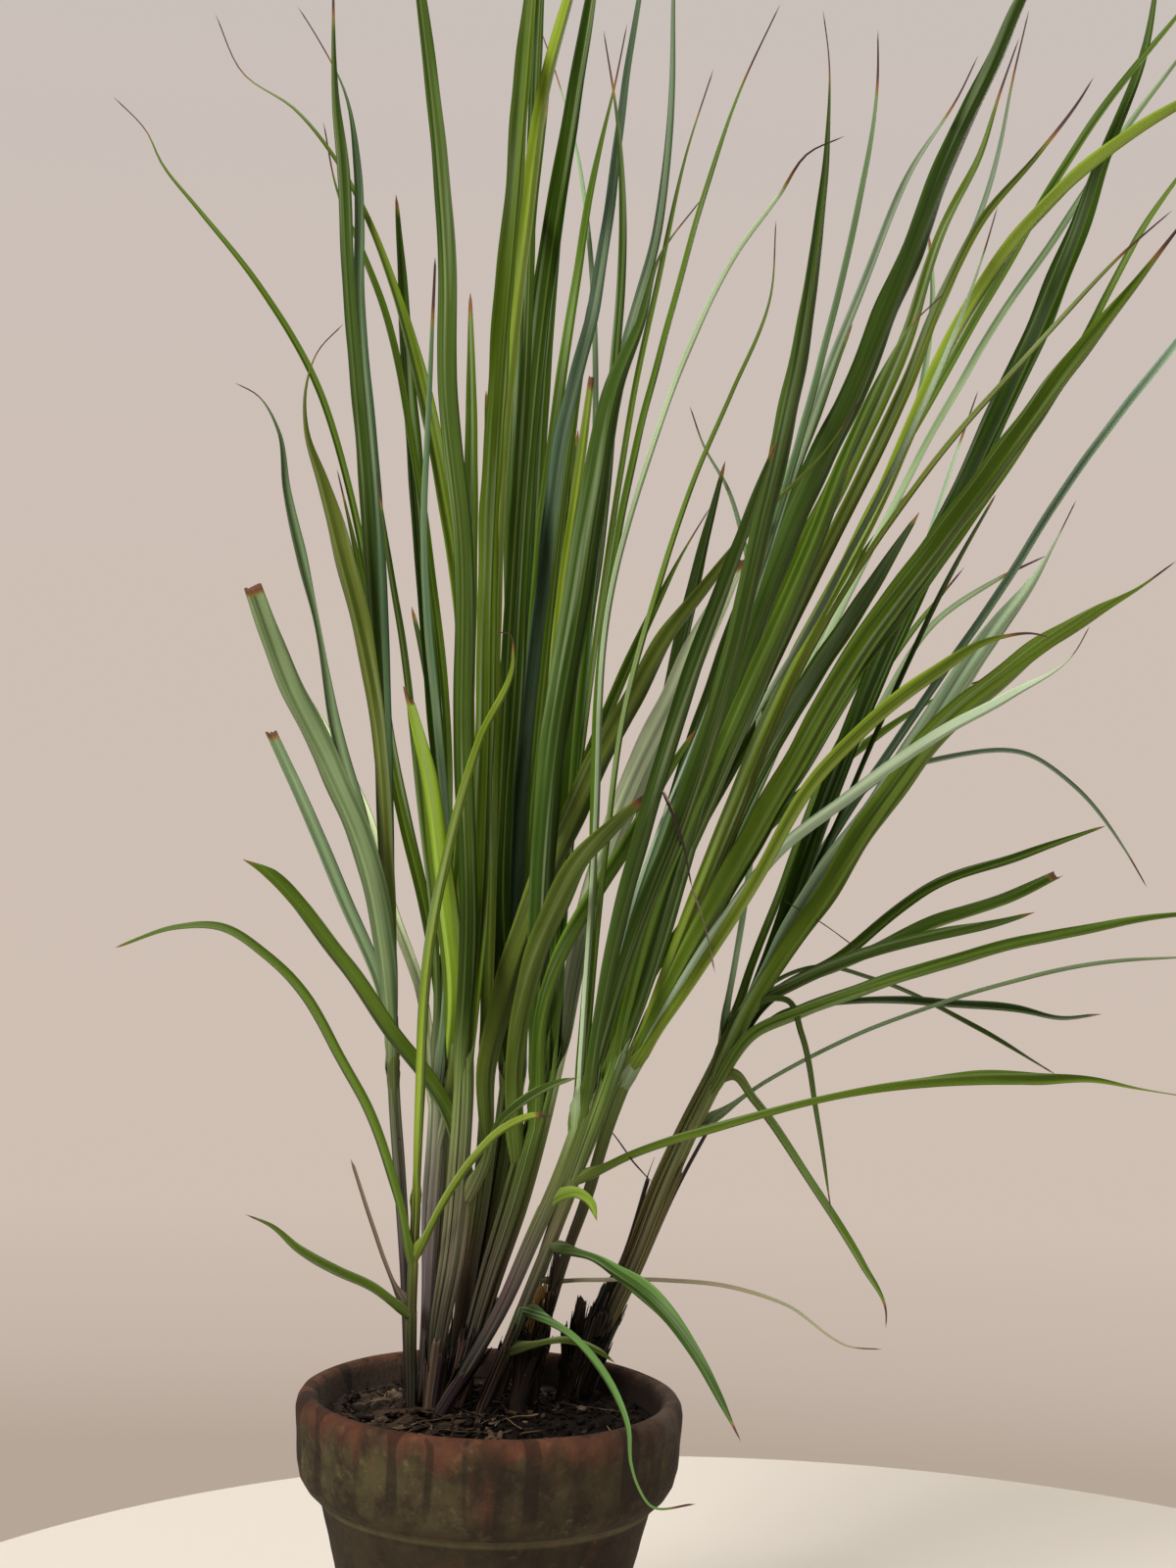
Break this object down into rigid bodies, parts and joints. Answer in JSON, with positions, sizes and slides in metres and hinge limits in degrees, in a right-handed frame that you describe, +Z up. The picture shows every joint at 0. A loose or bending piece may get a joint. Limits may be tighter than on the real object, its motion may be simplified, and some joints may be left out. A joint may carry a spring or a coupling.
{
  "type": "potted lemongrass",
  "caption": "Lemongrass plant with long narrow arching leaves on upright stems, growing in soil in a round fired clay pot with a thick rim.",
  "frame": {"origin": "centre of the pot's flat foot, on the surface that it stands on", "axes": "+Z up, +X to the right and +Y away as the picture looks at it"},
  "size_m": [0.6505, 0.5049, 0.9783],
  "materials": {
    "pot": "fired clay, mossy and stained",
    "soil": "moist crumbly soil with dry straw",
    "leafy_stem": "grass leaf, satin with fine ribs",
    "old_stem": "dead, fibrous and dull"
  },
  "bodies": {
    "root": {"pot": "pot", "soil": "soil", "tiller_01": "leafy_stem", "tiller_02": "leafy_stem", "tiller_03": "leafy_stem", "tiller_04": "leafy_stem", "tiller_05": "leafy_stem", "tiller_06": "leafy_stem", "tiller_07": "leafy_stem", "tiller_08": "leafy_stem", "tiller_09": "leafy_stem", "tiller_10": "leafy_stem", "tiller_11": "leafy_stem", "tiller_12": "leafy_stem", "tiller_13": "leafy_stem", "tiller_14": "leafy_stem", "tiller_15": "leafy_stem", "stub_1": "old_stem", "stub_2": "old_stem", "stub_3": "old_stem"}
  },
  "joints": []
}
